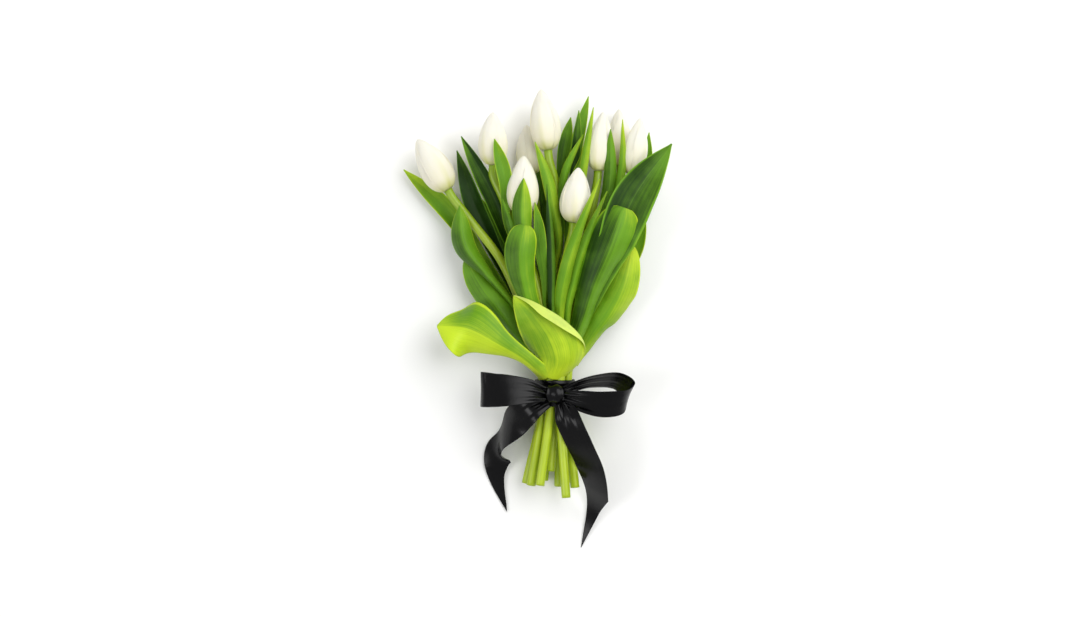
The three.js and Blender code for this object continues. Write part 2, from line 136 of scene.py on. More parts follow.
def sheetPiece(name, grid, thickness, uv, values, material, wrap=False):
    # a closed thin sheet: the grid moved half a thickness to either side along its normals,
    # thinner towards its edges, with a rim round the border
    rows, cols = grid.shape[:2]
    side = np.abs(np.linspace(-1, 1, cols)) ** 6
    lift = thickness / 2 * (1 - 0.6 * side)[None, :, None] * surfaceNormals(grid, wrap)
    points = np.concatenate([(grid + lift).reshape(-1, 3), (grid - lift).reshape(-1, 3)])
    index = np.arange(rows * cols).reshape(rows, cols)
    if wrap:
        index = np.vstack([index, index[:1]])
    a, b, c, d = index[:-1, :-1], index[:-1, 1:], index[1:, 1:], index[1:, :-1]
    below = rows * cols
    faces = [quads(a, b, c, d), quads(d, c, b, a) + below]
    if wrap:
        edges = [index[:, -1], index[::-1, 0]]
    else:
        edges = [np.concatenate([index[0], index[1:, -1], index[-1, -2::-1], index[-2::-1, 0]])]
    for edge in edges:
        faces.append(quads(edge[:-1] + below, edge[1:] + below, edge[1:], edge[:-1]))
    both = {key: np.concatenate([np.ravel(v), np.ravel(v)]) for key, v in values.items()}
    both["under"] = np.repeat([0.0, 1.0], rows * cols)
    uv = np.concatenate([uv.reshape(-1, 2)] * 2)
    return makePiece(name, points, np.concatenate(faces).tolist(), uv, both, material)


def tubePiece(name, rings, uv, values, material):
    # rings of points closed at both ends by a fan to a middle point
    rows, sides = rings.shape[:2]
    index = np.arange(rows * sides).reshape(rows, sides)
    turned = np.roll(index, -1, 1)
    faces = quads(index[:-1], turned[:-1], turned[1:], index[1:]).tolist()
    first, last = rows * sides, rows * sides + 1
    faces += [[first, b, a] for a, b in zip(index[0], turned[0])]
    faces += [[last, a, b] for a, b in zip(index[-1], turned[-1])]
    points = np.concatenate([rings.reshape(-1, 3), rings[:1].mean(1), rings[-1:].mean(1)])
    uv = np.concatenate([uv.reshape(-1, 2), uv[0, :1], uv[-1, :1]])
    values = {key: np.concatenate([np.ravel(v), np.ravel(v)[:1], np.ravel(v)[-1:]])
              for key, v in values.items()}
    return makePiece(name, points, faces, uv, values, material)


class Wire:
    # a socket in a material, with arithmetic that adds Math nodes
    def __init__(self, shop, socket):
        self.shop, self.socket = shop, socket

    def maths(self, operation, other=0.0, swap=False):
        pair = [other, self] if swap else [self, other]
        return self.shop.make("ShaderNodeMath", {"operation": operation}, pair)

    def __add__(self, other):
        return self.maths("ADD", other)

    def __sub__(self, other):
        return self.maths("SUBTRACT", other)

    def __rsub__(self, other):
        return self.maths("SUBTRACT", other, swap=True)

    def __mul__(self, other):
        return self.maths("MULTIPLY", other)

    __radd__, __rmul__ = __add__, __mul__

    def abs(self):
        return self.maths("ABSOLUTE")

    def sine(self):
        return self.maths("SINE")

    def clamp(self):
        return self.shop.make("ShaderNodeClamp", {}, [self])

    def between(self, low, high):
        # 0 at low, 1 at high, smooth in between
        settings = {"interpolation_type": "SMOOTHSTEP"}
        return self.shop.make("ShaderNodeMapRange", settings, [self, low, high])


class Shop:
    # one material and the nodes in it
    def __init__(self, name):
        self.material = bpy.data.materials.new(name)
        self.material.use_nodes = True
        self.tree = self.material.node_tree
        self.shader = self.tree.nodes["Principled BSDF"]

    def make(self, kind, settings=None, sockets=(), output=0):
        # any node: its settings first, then the values or links of its sockets
        node = self.tree.nodes.new(kind)
        for key, value in (settings or {}).items():
            setattr(node, key, value)
        pairs = sockets.items() if isinstance(sockets, dict) else enumerate(sockets)
        for key, value in pairs:
            self.join(node.inputs[key], value)
        return Wire(self, node.outputs[output])

    def join(self, socket, value):
        if isinstance(value, Wire):
            self.tree.links.new(value.socket, socket)
        else:
            socket.default_value = value

    def attribute(self, name):
        return self.make("ShaderNodeAttribute", {"attribute_name": name}, output="Fac")

    def grain(self):
        # the piece's own map: share across, then distance along in metres
        both = self.make("ShaderNodeUVMap", {"uv_map": "grain"})
        across = self.make("ShaderNodeSeparateXYZ", {}, [both])
        return across, Wire(self, across.socket.node.outputs[1])

    def place(self):
        return self.make("ShaderNodeTexCoord", output="Object")

    def joined(self, x, y, z):
        return self.make("ShaderNodeCombineXYZ", {}, [x, y, z])

    def noise(self, where, scale, detail):
        return self.make("ShaderNodeTexNoise", {}, {"Vector": where, "Scale": scale, "Detail": detail})

    def mix(self, share, first, second):
        return self.make("ShaderNodeMix", {"data_type": "RGBA"}, {0: share, 6: first, 7: second}, output=2)

    def bump(self, height, distance, strength):
        sockets = {"Height": height, "Distance": distance, "Strength": strength}
        return self.make("ShaderNodeBump", {}, sockets, output="Normal")

    def finish(self, **sockets):
        for key, value in sockets.items():
            self.join(self.shader.inputs[key], value)
        return self.material


def colour(red, green, blue):
    # a colour as seen, 0 to 255, turned into linear light
    seen = np.array([red, green, blue]) / 255
    linear = np.where(seen < 0.04045, seen / 12.92, ((seen + 0.055) / 1.055) ** 2.4)
    return (*linear.tolist(), 1.0)


leafLook = {"deep": colour(26, 58, 0), "fresh": colour(100, 150, 22), "lime": colour(190, 216, 40),
            "pale": colour(224, 240, 120), "waxy": colour(112, 150, 88), "vein": 34, "roughness": 0.46}


def makeLeafMaterial(look):
    # deep to fresh to lime green by the leaf's tone, which also carries a painted shade on one half,
    # with fine veins lengthwise, a lighter margin, tip and rib, a grey wax bloom on the under side,
    # cloudy patches, and a pale green where the margin is turned back
    shop = Shop("fresh leaf")
    across, along = shop.grain()
    tone, under, rise = shop.attribute("tone"), shop.attribute("under"), shop.attribute("rise")
    side = (across - 0.5).abs() * 2
    clouds = shop.noise(shop.place(), 38.0, 4.0)
    streaks = shop.noise(shop.joined(across * 26, along * 9, tone * 7), 1.0, 3.0)
    veins = ((across + (clouds - 0.5) * 0.012) * (2 * math.pi * look["vein"])).sine() * 0.5 + 0.5
    rib = 1 - side.between(0.0, 0.07)
    margin = side.between(0.84, 0.98)
    tip = rise.between(0.8, 1.0)
    amount = tone + (clouds - 0.5) * 0.4 + (streaks - 0.5) * 0.35 + margin * 0.42 + tip * 0.22
    amount = amount + rib * 0.08 + veins * 0.05
    deepFresh = shop.mix(amount.between(0.0, 0.55), look["deep"], look["fresh"])
    green = shop.mix(amount.between(0.5, 1.05), deepFresh, look["lime"])
    green = shop.mix(shop.attribute("turned") * 0.8, green, look["pale"])
    wax = (under * 0.3 + 0.05) * clouds.between(0.4, 0.75)
    base = shop.mix(wax, green, look["waxy"])
    height = veins * 0.35 + streaks * 0.5 + rib * -0.6
    return shop.finish(**{
        "Base Color": base, "Roughness": (look["roughness"] + (streaks - 0.5) * 0.16 + wax * 0.3).clamp(),
        "Normal": shop.bump(height, 0.00022, 0.8), "Subsurface Weight": 0.06,
        "Subsurface Radius": (0.4, 0.8, 0.2), "Subsurface Scale": 0.002, "Specular IOR Level": 0.22})


petalLook = {"white": colour(250, 245, 224), "cream": colour(242, 231, 186),
             "foot": colour(208, 208, 112), "roughness": 0.6}


def makePetalMaterial(look):
    # white at the top, cream lower down and yellow-green at the foot and along the rib, with
    # fine lengthwise veins
    shop = Shop("white petal")
    across, along = shop.grain()
    rise = shop.attribute("rise")
    side = (across - 0.5).abs() * 2
    clouds = shop.noise(shop.place(), 60.0, 3.0)
    streaks = shop.noise(shop.joined(across * 34, along * 12, 0.0), 1.0, 3.0)
    lines = ((across + (clouds - 0.5) * 0.03) * (2 * math.pi * 22)).sine() * 0.5 + 0.5
    low = 1 - rise.between(0.08, 0.75)
    foot = 1 - rise.between(0.0, 0.22)
    rib = (1 - side.between(0.0, 0.3)) * (1 - rise.between(0.1, 0.85))
    creamy = shop.mix((low * 0.55 + (streaks - 0.5) * 0.35 + 0.05).clamp(), look["white"], look["cream"])
    base = shop.mix((foot * 0.75 + rib * 0.28 + (1 - lines) * 0.03).clamp(), creamy, look["foot"])
    height = lines * 0.4 + streaks * 0.8
    return shop.finish(**{
        "Base Color": base, "Roughness": (look["roughness"] + (streaks - 0.5) * 0.15).clamp(),
        "Normal": shop.bump(height, 0.00016, 0.7), "Subsurface Weight": 0.35,
        "Subsurface Radius": (1.0, 0.9, 0.6), "Subsurface Scale": 0.004, "Sheen Weight": 0.1,
        "Specular IOR Level": 0.22})


stemLook = {"light": colour(176, 198, 34), "green": colour(110, 146, 12),
            "pith": colour(206, 220, 140), "roughness": 0.38}


def makeStemMaterial(look):
    # yellow-green with lengthwise streaks, greener towards the flower, and a pale cut end with
    # a darker rim and small spots
    shop = Shop("fresh stem")
    across, along = shop.grain()
    rise, end = shop.attribute("rise"), shop.attribute("end")
    streaks = shop.noise(shop.joined(across * 18, along * 14, rise), 1.0, 4.0)
    clouds = shop.noise(shop.place(), 45.0, 3.0)
    amount = rise.between(0.25, 0.9) * 0.6 + (streaks - 0.5) * 0.9 + (clouds - 0.5) * 0.5 + 0.15
    skin = shop.mix(amount.clamp(), look["light"], look["green"])
    spots = shop.noise(shop.place(), 1500.0, 1.0).between(0.55, 0.7)
    pith = shop.mix(spots * 0.5, look["pith"], look["green"])
    base = shop.mix(end, skin, pith)
    return shop.finish(**{
        "Base Color": base, "Roughness": (look["roughness"] + (streaks - 0.5) * 0.2 + end * 0.2).clamp(),
        "Normal": shop.bump(streaks, 0.0003, 0.7), "Subsurface Weight": 0.12,
        "Subsurface Radius": (0.6, 0.9, 0.2), "Subsurface Scale": 0.003})


ribbonLook = {"black": colour(2, 2, 3), "floatSheenAndEdge": colour(8, 8, 10), "roughness": 0.24, "threads": 260}


def makeRibbonMaterial(look):
    # black satin: long shining floats across, painted a little lighter as a sheen, a fine weave line and a
    # thread-fine edge, also a little lighter
    shop = Shop("black satin")
    across, along = shop.grain()
    floats = shop.noise(shop.joined(across * 7, along * 420, 0.0), 1.0, 3.0)
    weave = (across * (2 * math.pi * look["threads"])).sine() * 0.5 + 0.5
    edge = ((across - 0.5).abs() * 2).between(0.93, 0.97)
    # the floats are lighter in colour as a painted sheen, and the woven edge is lighter too
    base = shop.mix((floats * 0.6 + edge * 0.4).clamp(), look["black"], look["floatSheenAndEdge"])
    height = floats * 0.8 + weave * 0.1 + edge * 0.8
    return shop.finish(**{
        "Base Color": base, "Roughness": (look["roughness"] + (floats - 0.5) * 0.12 + edge * 0.15).clamp(),
        "Normal": shop.bump(height, 0.0001, 0.6), "Specular IOR Level": 0.2})


leafMaterial = makeLeafMaterial(leafLook)
petalMaterial = makePetalMaterial(petalLook)
stemMaterial = makeStemMaterial(stemLook)
ribbonMaterial = makeRibbonMaterial(ribbonLook)
print("materials made")


stemSizes = {"diameter": 9.0, "ring": 10.9 / (2 * math.sin(math.pi / 8)), "waist": 36.0, "sides": 32,
             "rows": 150, "taper": 0.06, "flare": 0.12, "flareFrom": 0.965, "wave": 0.012, "ribs": 0.014}

# the dish in a cut end, as shares of the radius and depths inwards
cutDish = ((0.25, 0.5), (0.6, 0.35), (0.86, 0.0), (0.97, 0.0))

# turn is the place of the stem in the ring inside the tie, cut its lower end, via the points
# on the way up, base and tip the ends of the flower and width its full width
tulips = [
    {"turn": 202.5, "cut": [-29, -92, -9], "via": [[-51, 127, 3], [-85, 173, 4]],
     "base": [-107, 203, 4], "tip": [-138, 254, 4], "width": 30, "spin": 20},
    {"turn": 157.5, "cut": [-24, -93, 4], "via": [[-30, 110, 9], [-49, 187, 12]],
     "base": [-62, 227, 13], "tip": [-62, 280, 13], "width": 27, "spin": 75},
    {"turn": 247.5, "cut": [-11, -90, -19.5], "via": [[-11, 110, -9]],
     "base": [-23, 220, -10.3], "tip": [-29, 270, -10.3], "width": 25, "spin": 40},
    {"turn": None, "cut": [-4.5, -79, 3], "via": [[-1, 110, 3], [1, 205, 9]],
     "base": [-7, 242, 14], "tip": [-14, 303, 15], "width": 28.5, "spin": 100},
    {"turn": 112.5, "cut": [-15, -92, 15], "via": [[-14, 90, 18]],
     "base": [-33, 177, 26], "tip": [-31, 235, 29], "width": 30, "spin": 62},
    {"turn": 67.5, "cut": [11, -104, 16], "via": [[6, 90, 20], [12, 138, 27]],
     "base": [18, 169, 31], "tip": [23, 223, 35], "width": 29, "spin": 118},
    {"turn": 22.5, "cut": [20, -95, 5], "via": [[24, 110, 9]],
     "base": [43, 221, 14], "tip": [48, 280, 14], "width": 23.5, "spin": 90},
    {"turn": 292.5, "cut": [4, -96, -19.5], "via": [[22, 110, -10]],
     "base": [65, 228, -11.1], "tip": [65, 286, -11.1], "width": 24, "spin": 30},
    {"turn": 337.5, "cut": [18, -91, -9], "via": [[36, 110, -2], [66, 190, 9]],
     "base": [76, 218, 13], "tip": [85, 274, 15], "width": 23, "spin": 50},
]


def stemPath(tulip):
    # from the cut end, straight through its place in the tie, up to the foot of the flower
    turn = math.radians(tulip["turn"] or 0)
    ring = 0 if tulip["turn"] is None else stemSizes["ring"]
    half = stemSizes["waist"] / 2
    waist = [[ring * math.cos(turn), y, ring * math.sin(turn)] for y in (-half, half)]
    base = np.array(tulip["base"], float)
    rise = unit(np.array(tulip["tip"], float) - base) * stemSizes["diameter"]
    return [tulip["cut"], *waist, *tulip["via"], base - rise, base]


def makeStem(number, tulip):
    # a circle of slightly wavy radius carried along the path, thinner towards the flower and
    # flared under it, with a shallow dish turned in at the cut end
    rows, sides = stemSizes["rows"], stemSizes["sides"]
    t = np.linspace(0, 1, rows)
    spine, along, across, facing = framesOn(stemPath(tulip), t, np.array([1.0, 0, 0]))
    turn = np.linspace(0, 2 * math.pi, sides, endpoint=False)
    late = np.clip((t - stemSizes["flareFrom"]) / (1 - stemSizes["flareFrom"]), 0, 1)
    swell = 1 - stemSizes["taper"] * t + stemSizes["flare"] * late**2
    swell = swell + stemSizes["wave"] * np.sin(9 * t + number)
    ribs = 1 + stemSizes["ribs"] * np.sin(5 * turn[None, :] + 4 * t[:, None] + number)
    radius = stemSizes["diameter"] / 2 * swell[:, None] * ribs
    outward = facing[:, None] * np.cos(turn)[None, :, None] + across[:, None] * np.sin(turn)[None, :, None]
    body = spine[:, None] + radius[..., None] * outward
    dish = [spine[0] + along[0] * depth + scale * radius[0][:, None] * outward[0]
            for scale, depth in cutDish]
    cap = [spine[-1] + along[-1] * 0.6 + 0.6 * radius[-1][:, None] * outward[-1]]
    rings = np.concatenate([dish, body, cap])
    rise = np.concatenate([np.zeros(len(cutDish)), t, [1.0]])
    length = np.linalg.norm(np.diff(spine, axis=0), axis=1).sum() * millimetre
    uv = np.stack(np.broadcast_arrays(turn[None, :] / (2 * math.pi), length * rise[:, None]), -1)
    end = np.concatenate([np.ones(len(cutDish)), np.zeros(rows + 1)])
    values = {"rise": np.repeat(rise, sides), "end": np.repeat(end, sides)}
    name = f"stem_{number}"
    piece = tubePiece(name, place(rings), uv, values, stemMaterial)
    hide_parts(f"tulip_{number}_stem")


for number, tulip in enumerate(tulips, 1):
    makeStem(number, tulip)
print("stems made")


petalSizes = {"rows": 44, "cols": 25, "thickness": 0.6, "wave": 0.14, "ridge": 0.45,
              "outer": {"span": 66, "lift": 0.75, "power": 7, "flare": 0.5},
              "inner": {"span": 74, "lift": -0.35, "power": 120, "flare": 0.15}}


def makePetal(number, tulip, order, luck):
    # one petal of the closed bud: at share s of its length the bud's radius is
    # R sin(pi s^0.7)^0.62, and the petal covers the angle span (1 - s^power)^0.6 to each side.
    # Rows lie closer together towards the tip, and a ridge runs along the middle
    kind = "inner" if order % 2 else "outer"
    sizes = petalSizes[kind]
    s = 1 - np.linspace(0.996, 0.0005, petalSizes["rows"])[:, None] ** 1.5
    u = np.linspace(-1, 1, petalSizes["cols"])[None, :]
    base, tip = np.array(tulip["base"], float), np.array(tulip["tip"], float)
    length = np.linalg.norm(tip - base)
    _, along, across, facing = framesOn([base, tip], np.array([0.5]), np.array([1.0, 0, 0]))
    narrow = (1 - s**sizes["power"]) ** 0.6 * (1 - 0.25 * np.exp(-s / 0.08))
    middle = math.radians(tulip["spin"] + 60 * order) + luck.uniform(-0.09, 0.09)
    angle = middle + np.radians(sizes["span"]) * u * narrow * (1 + luck.uniform(-0.06, 0.04))
    profile = tulip["width"] / 2 * np.sin(math.pi * s**0.7) ** 0.62
    radius = profile * (1 + luck.uniform(-0.02, 0.02)) + sizes["lift"] * np.sin(math.pi * s) ** 0.5
    radius = radius + petalSizes["ridge"] * np.exp(-(u / 0.17) ** 2) * np.sin(math.pi * s)
    radius = radius + sizes["flare"] * np.abs(u) ** 5 * np.sin(math.pi * s) ** 2
    radius = radius + petalSizes["wave"] * np.sin(5 * u + 7 * s + luck.uniform(0, 6)) * s
    radius = np.maximum(radius, 0.3)
    if kind == "outer":
        reach = s * length * (0.985 + luck.uniform(-0.03, 0.01))
    else:
        reach = s * length
    outward = facing[0] * np.cos(angle)[..., None] + across[0] * np.sin(angle)[..., None]
    grid = base + along[0] * reach[..., None] + outward * radius[..., None]
    s, u = np.broadcast_arrays(s, u)
    uv = np.stack([(u + 1) / 2, s * length * millimetre], -1)
    name = f"petal_{number}_{kind}_{order // 2 + 1}"
    piece = sheetPiece(name, place(grid)[:, ::-1], petalSizes["thickness"] * millimetre, uv[:, ::-1],
                       {"rise": s}, petalMaterial)
    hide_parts(f"tulip_{number}_bloom")


for number, tulip in enumerate(tulips, 1):
    luck = np.random.default_rng(40 + number)
    for order in range(6):
        makePetal(number, tulip, order, luck)
print("flowers made")


# the defaults include a painted shade that makes one half of every leaf a little darker
leafSizes = {"rows": 96, "cols": 33, "thickness": 0.6, "standOff": 0.8, "baseShare": 0.3, "tip": 0.35,
             "waves": 3.2, "ripple": 1.4, "crease": 20, "paintedHalfShade": 0.06,
             "broad": 34}

# Each leaf grows from the stem of one tulip, at a height above the tie and on one side of the
# stem (90 is up), then runs through the points of to. widest is where it is widest, and blunt
# below 1 makes it rounder there. roll and cup are in degrees from foot to tip. tone runs from
# 0, deep green, to 1, lime, and the entry for the two halves is a painted shade: how much darker
# one half is than the other, as light falling across the fold would make it. back is a
# margin that is turned back over the leaf.
leaves = [
    {"name": "front_fold", "tulip": 5, "height": 14, "side": 72, "width": 72, "widest": 0.42,
     "tone": 0.7, "to": [[2, 34, 31], [-5, 56, 39], [-21, 78, 42], [-41, 97, 36]], "roll": [0, -12],
     "cup": [-70, -30], "blunt": 0.8, "crease": -5, "foot": 0.45, "ripple": 0.3, "cols": 129,
     "back": {"margin": 1, "share": [1, 0.94, 0.6, 0.44, 0.5], "round": 0.11,
              "turn": [150, 160, 162, 160]}},
    {"name": "left_flop", "tulip": 5, "height": 14, "side": 135, "width": 58, "widest": 0.76, "tone": 0.72,
     "to": [[-31, 34, 29], [-58, 50, 34], [-86, 64, 33], [-117, 67, 25]], "roll": [-20, -12, -10, -30, -64],
     "cup": [-60, -14], "blunt": 0.9, "foot": 0.45, "crease": -6, "ripple": 0.1, "paintedHalfShade": -0.2},
    {"name": "front_left", "tulip": 5, "height": 42, "side": 100, "width": 37, "widest": 0.76, "tone": 0.34,
     "to": [[-19, 72, 27], [-30, 102, 40], [-35, 135, 49], [-30, 166, 50]], "roll": [-4, 0],
     "cup": [-60, -30], "blunt": 0.36, "paintedHalfShade": 0.14},
    {"name": "front_right", "tulip": 6, "height": 30, "side": 50, "width": 54, "widest": 0.78, "tone": 0.3,
     "to": [[26, 68, 26], [39, 108, 40], [54, 144, 48], [68, 183, 47]], "roll": [10, 4],
     "cup": [-60, -30], "blunt": 0.34, "crease": -24, "paintedHalfShade": 0.16},
    {"name": "centre", "tulip": 6, "height": 36, "side": 115, "width": 13, "widest": 0.5, "tone": 0.12,
     "to": [[-3, 80, 30], [-3, 120, 36], [-5, 165, 40], [-8, 207, 38]], "roll": [0, 15],
     "cup": [-70, -50], "paintedHalfShade": 0.2},
    {"name": "centre_right_1", "tulip": 6, "height": 48, "side": 90, "width": 18, "widest": 0.5,
     "tone": 0.62, "to": [[5, 84, 32], [10, 116, 42], [20, 152, 49], [43, 211, 50]], "roll": [5, 10],
     "cup": [-60, -35]},
    {"name": "centre_right_2", "tulip": 7, "height": 34, "side": 80, "width": 15, "widest": 0.55,
     "tone": 0.48, "to": [[12, 75, 24], [18, 108, 32], [30, 150, 38], [51, 200, 38]], "roll": [5, 15],
     "cup": [-60, -40]},
    {"name": "mid_left", "tulip": 5, "height": 66, "side": 120, "width": 26, "widest": 0.72, "tone": 0.4,
     "to": [[-22, 110, 33], [-30, 145, 43], [-33, 178, 47], [-31, 212, 46]], "roll": [-5, 0],
     "cup": [-60, -30], "crease": -28, "paintedHalfShade": 0.2},
    {"name": "mid_left_thin", "tulip": 5, "height": 74, "side": 160, "width": 12, "widest": 0.6,
     "tone": 0.25, "to": [[-31, 110, 25], [-38, 135, 32], [-43, 162, 38], [-52, 192, 36]],
     "roll": [-10, -5], "cup": [-60, -45]},
    {"name": "centre_thin", "tulip": 5, "height": 84, "side": 60, "width": 12, "widest": 0.6, "tone": 0.35,
     "to": [[-11, 115, 28], [-14, 140, 34], [-16, 165, 38], [-20, 189, 37]], "roll": [10, 0],
     "cup": [-60, 40]},
    {"name": "left_channel", "tulip": 1, "height": 52, "side": 100, "width": 33, "widest": 0.74,
     "tone": 0.34, "to": [[-46, 92, 14], [-70, 120, 19], [-90, 147, 20], [-95, 187, 17]],
     "roll": [-10, 4], "cup": [-60, -30], "crease": -38, "paintedHalfShade": 0.12},
    {"name": "left_low", "tulip": 2, "height": 28, "side": 130, "width": 34, "widest": 0.66, "tone": 0.42,
     "to": [[-38, 58, 17], [-56, 83, 15], [-74, 107, 9], [-90, 134, 4]], "roll": [-20, -10],
     "cup": [-60, -20], "blunt": 0.6},
    {"name": "right_far", "tulip": 9, "height": 46, "side": 75, "width": 45, "widest": 0.7, "tone": 0.16,
     "to": [[38, 95, 26], [56, 142, 34], [77, 194, 37], [115, 247, 33]], "roll": [6, 8],
     "cup": [-60, 34]},
    {"name": "right_tall", "tulip": 7, "height": 66, "side": 85, "width": 18, "widest": 0.75, "tone": 0.35,
     "to": [[29, 118, 19], [41, 160, 22], [54, 207, 26], [55, 262, 27]], "roll": [0, 5],
     "cup": [-60, -40],
     "crease": -30},
    {"name": "right_thin", "tulip": 9, "height": 72, "side": 110, "width": 10, "widest": 0.65, "tone": 0.6,
     "to": [[34, 112, 12], [50, 165, 19], [66, 220, 23], [67, 272, 24]], "roll": [0, 0],
     "cup": [-60, -30]},
    {"name": "centre_tall", "tulip": 4, "height": 120, "side": 90, "width": 15, "widest": 0.62, "tone": 0.6,
     "to": [[4, 150, 20], [0, 178, 27], [-7, 212, 32], [-20, 249, 32]], "roll": [5, 10],
     "cup": [-60, -30]},
    {"name": "left_tall", "tulip": 2, "height": 96, "side": 70, "width": 15, "widest": 0.8, "tone": 0.35,
     "to": [[-36, 135, 16], [-48, 170, 20], [-49, 212, 30], [-60, 252, 31]], "roll": [0, -5],
     "cup": [-60, 35]},
    {"name": "left_bright", "tulip": 2, "height": 62, "side": 260, "width": 24, "widest": 0.7, "tone": 0.0,
     "to": [[-30, 112, -4], [-45, 155, -3], [-65, 205, 2], [-94, 257, 7]], "roll": [-14, -14],
     "cup": [60, 36], "crease": 26, "paintedHalfShade": -0.14},
    {"name": "left_dark", "tulip": 1, "height": 54, "side": 290, "width": 25, "widest": 0.66, "tone": -0.12,
     "to": [[-40, 100, -9], [-61, 147, -11], [-82, 193, -8], [-99, 244, -7]], "roll": [-8, -8],
     "cup": [60, 30]},
    {"name": "right_low", "tulip": 7, "height": 28, "side": 10, "width": 40, "widest": 0.62, "tone": 0.62,
     "to": [[38, 56, 12], [56, 80, 17], [69, 107, 19], [78, 146, 16]], "roll": [20, 8],
     "cup": [-60, -16],
     "blunt": 0.6},
    {"name": "right_edge", "tulip": 9, "height": 34, "side": 330, "width": 24, "widest": 0.66, "tone": 0.5,
     "to": [[40, 76, -2], [62, 112, 0], [79, 148, 3], [90, 188, 5]], "roll": [14, 10], "cup": [60, 30]},
    {"name": "top_1", "tulip": 4, "height": 96, "side": 300, "width": 15, "widest": 0.8, "tone": 0.3,
     "to": [[5, 140, -3], [5, 185, -2], [8, 236, -1], [16, 277, -3]], "roll": [0, 0], "cup": [60, 35]},
    {"name": "top_2", "tulip": 8, "height": 100, "side": 120, "width": 13, "widest": 0.78, "tone": 0.42,
     "to": [[20, 140, -5], [19, 190, -8], [22, 250, -8], [34, 299, -10]], "roll": [0, 10],
     "cup": [-50, 35]},
    {"name": "top_3", "tulip": 7, "height": 84, "side": 190, "width": 12, "widest": 0.75, "tone": 0.12,
     "to": [[14, 130, 7], [16, 180, 7], [20, 236, 7], [24, 283, 6]], "roll": [-10, 10],
     "cup": [60, 45]},
    {"name": "top_4", "tulip": 7, "height": 104, "side": 130, "width": 10, "widest": 0.65, "tone": 0.6,
     "to": [[21, 145, 15], [24, 188, 19], [30, 236, 24], [38, 284, 24]], "roll": [-5, 0],
     "cup": [-60, -35]},
    {"name": "top_5", "tulip": 4, "height": 126, "side": 20, "width": 10, "widest": 0.66, "tone": 0.5,
     "to": [[7, 160, 11], [6, 190, 16], [11, 222, 18], [28, 258, 17]], "roll": [0, 12],
     "cup": [-60, -35]},
    {"name": "top_6", "tulip": 6, "height": 112, "side": 280, "width": 8, "widest": 0.6, "tone": 0.4,
     "to": [[11, 140, 15], [12, 172, 8], [15, 206, 10], [27, 239, 14]], "roll": [0, 12],
     "cup": [60, 30]},
    {"name": "right_back", "tulip": 9, "height": 94, "side": 275, "width": 13, "widest": 0.75, "tone": 0.4,
     "to": [[46, 128, -12], [68, 175, -8], [90, 224, -5], [95, 262, -4]], "roll": [5, 10],
     "cup": [60, 40]},
    {"name": "left_far", "tulip": 1, "height": 36, "side": 230, "width": 23, "widest": 0.72, "tone": 0.5,
     "to": [[-43, 90, -13], [-74, 137, -15], [-108, 184, -15], [-153, 225, -10]], "roll": [-8, 0],
     "cup": [60, 28]},
    {"name": "under_1", "tulip": 3, "height": 24, "side": 235, "width": 30, "widest": 0.5, "tone": 0.3,
     "to": [[-24, 75, -21], [-40, 115, -23.2], [-58, 160, -23.2], [-82, 205, -20]], "roll": [-5, 0],
     "cup": [60, 16]},
    {"name": "under_2", "tulip": 3, "height": 50, "side": 275, "width": 28, "widest": 0.55, "tone": 0.25,
     "to": [[-7, 100, -21.5], [-9, 145, -23.2], [-12, 190, -23.2], [-20, 236, -21]], "roll": [0, 0],
     "cup": [60, 14]},
    {"name": "under_3", "tulip": 8, "height": 26, "side": 275, "width": 30, "widest": 0.5, "tone": 0.3,
     "to": [[20, 75, -21.5], [32, 115, -23.2], [46, 160, -23.2], [62, 206, -21]], "roll": [5, 0],
     "cup": [60, 16]},
    {"name": "under_4", "tulip": 9, "height": 27, "side": 288, "width": 25, "widest": 0.55, "tone": 0.4,
     "to": [[34, 65, -15], [52, 98, -18], [68, 132, -19], [80, 168, -17]], "roll": [20, 8],
     "cup": [60, 18]},
    {"name": "under_5", "tulip": 1, "height": 24, "side": 260, "width": 24, "widest": 0.55, "tone": 0.4,
     "to": [[-33, 58, -16], [-52, 84, -19], [-70, 112, -19], [-90, 146, -17]], "roll": [-20, -8],
     "cup": [60, 18]},
    {"name": "under_6", "tulip": 8, "height": 84, "side": 230, "width": 19, "widest": 0.6, "tone": 0.3,
     "to": [[17, 125, -18], [16, 165, -17], [20, 210, -17], [30, 250, -18]], "roll": [0, 0],
     "cup": [60, 20]},
]


def leafFoot(leaf):
    # beside the stem that the leaf clasps, at its height above the tie
    path = followPoints(stemPath(tulips[leaf["tulip"] - 1]), np.linspace(0, 1, 4000))
    spot = path[np.argmax(path[:, 1] >= leaf["height"])]
    side = math.radians(leaf["side"])
    stand = stemSizes["diameter"] / 2 + leafSizes["thickness"] + leafSizes["standOff"]
    return spot + stand * np.array([math.cos(side), 0, math.sin(side)])


